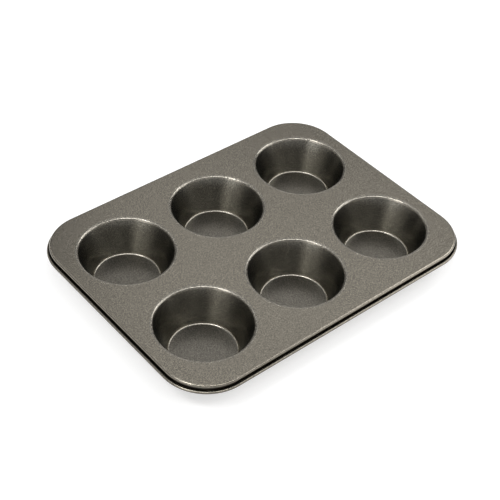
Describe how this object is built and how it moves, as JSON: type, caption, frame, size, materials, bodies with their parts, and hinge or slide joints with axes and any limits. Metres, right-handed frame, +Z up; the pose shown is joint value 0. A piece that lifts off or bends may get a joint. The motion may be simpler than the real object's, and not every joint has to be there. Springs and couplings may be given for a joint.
{
  "type": "muffin pan",
  "caption": "Shallow rectangular baking pan with round tapered cups set in a flat deck, rounded corners, a short skirt and a wired rolled rim.",
  "frame": {"origin": "on the table plane, under the middle of the pan: the undersides of the cup bases lie at z = 0", "axes": "+X along the rows of three cups, +Y from the front row to the back row, +Z up out of the cups"},
  "size_m": [0.35, 0.2664, 0.0358],
  "materials": {
    "deck_coating": "satin metallic non-stick coating, warm dark grey, with a fine speckle",
    "cup_coating": "satin metallic non-stick coating, warm dark grey, with a fine speckle",
    "wire_steel": "drawn steel wire"
  },
  "bodies": {
    "root": {"deck": "deck_coating", "rim_wire": "wire_steel", "cup_front_left": "cup_coating", "cup_front_middle": "cup_coating", "cup_front_right": "cup_coating", "cup_back_left": "cup_coating", "cup_back_middle": "cup_coating", "cup_back_right": "cup_coating"}
  },
  "joints": []
}
